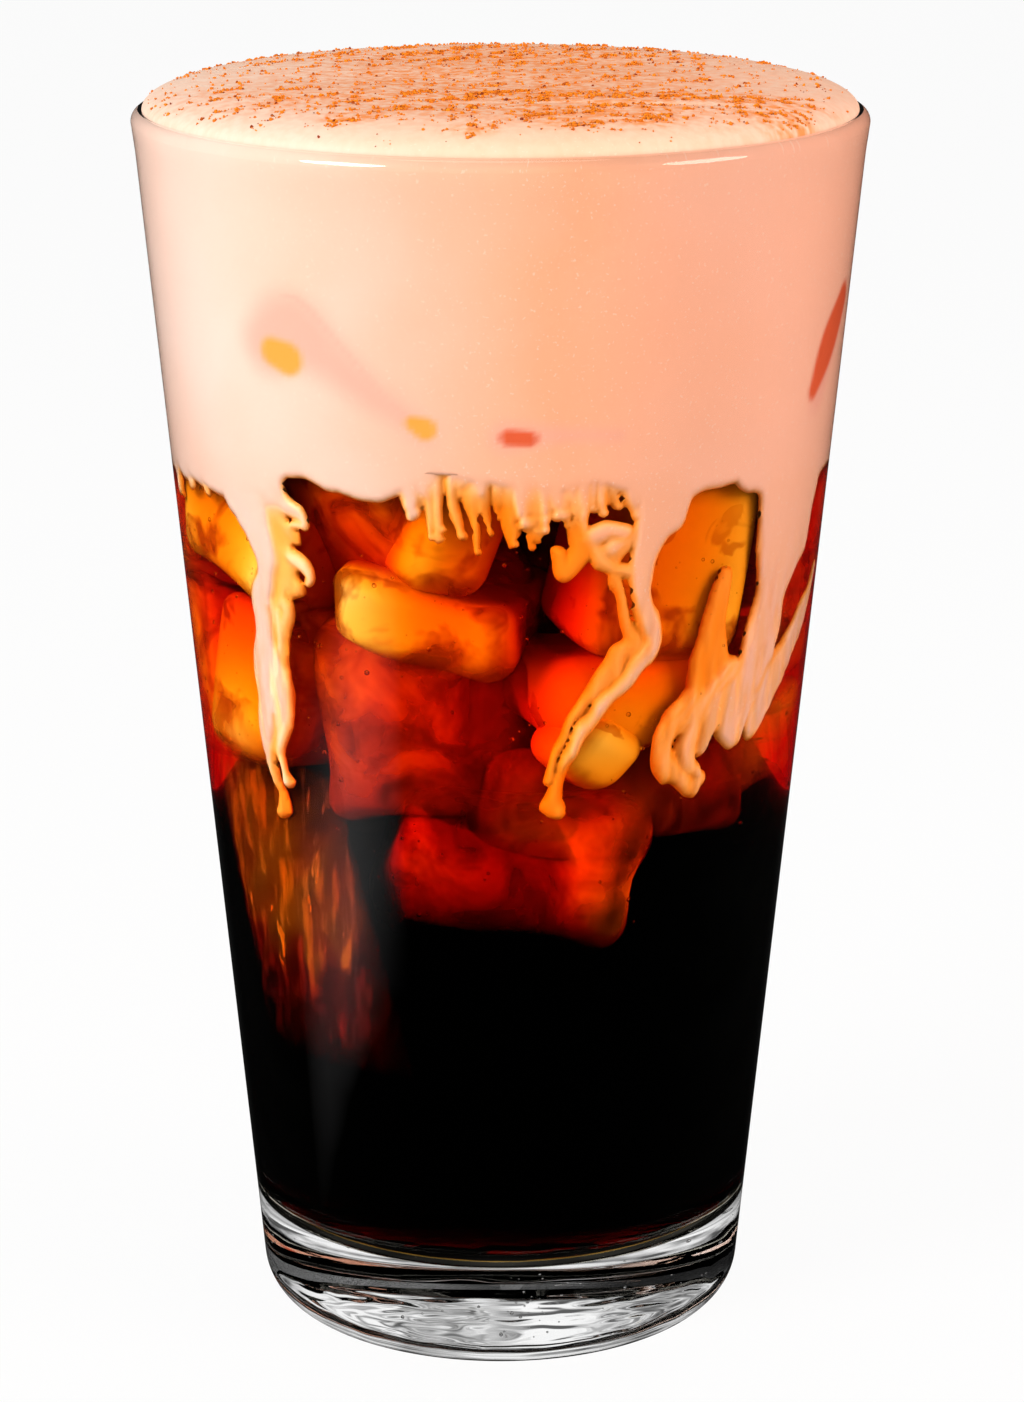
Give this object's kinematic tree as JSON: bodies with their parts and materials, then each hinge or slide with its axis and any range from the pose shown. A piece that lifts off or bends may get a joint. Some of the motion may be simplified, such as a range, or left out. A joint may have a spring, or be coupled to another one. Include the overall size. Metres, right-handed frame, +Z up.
{
  "type": "iced cold brew coffee in a glass",
  "caption": "Tapered clear tumbler of dark iced coffee under a deep layer of sweet cream foam that domes over the lip and drips down inside the wall.",
  "frame": {"origin": "middle of the tumbler's foot, on the surface it stands on", "axes": "+Z up along the tumbler's axis, -Y towards the side that is shown, +X to its right"},
  "size_m": [0.087, 0.087, 0.1525],
  "materials": {
    "glass": "clear, fire-polished",
    "coffee": "clear liquid, very dark brown, red where thin",
    "cream": "smooth satin foam",
    "ice": "clear ice with fine bubbles, under the coffee",
    "cinnamon": "dry powder and crumbs"
  },
  "bodies": {
    "root": {"glass_tumbler": "glass", "cold_brew": "coffee", "cream_foam": "cream"}
  },
  "joints": []
}
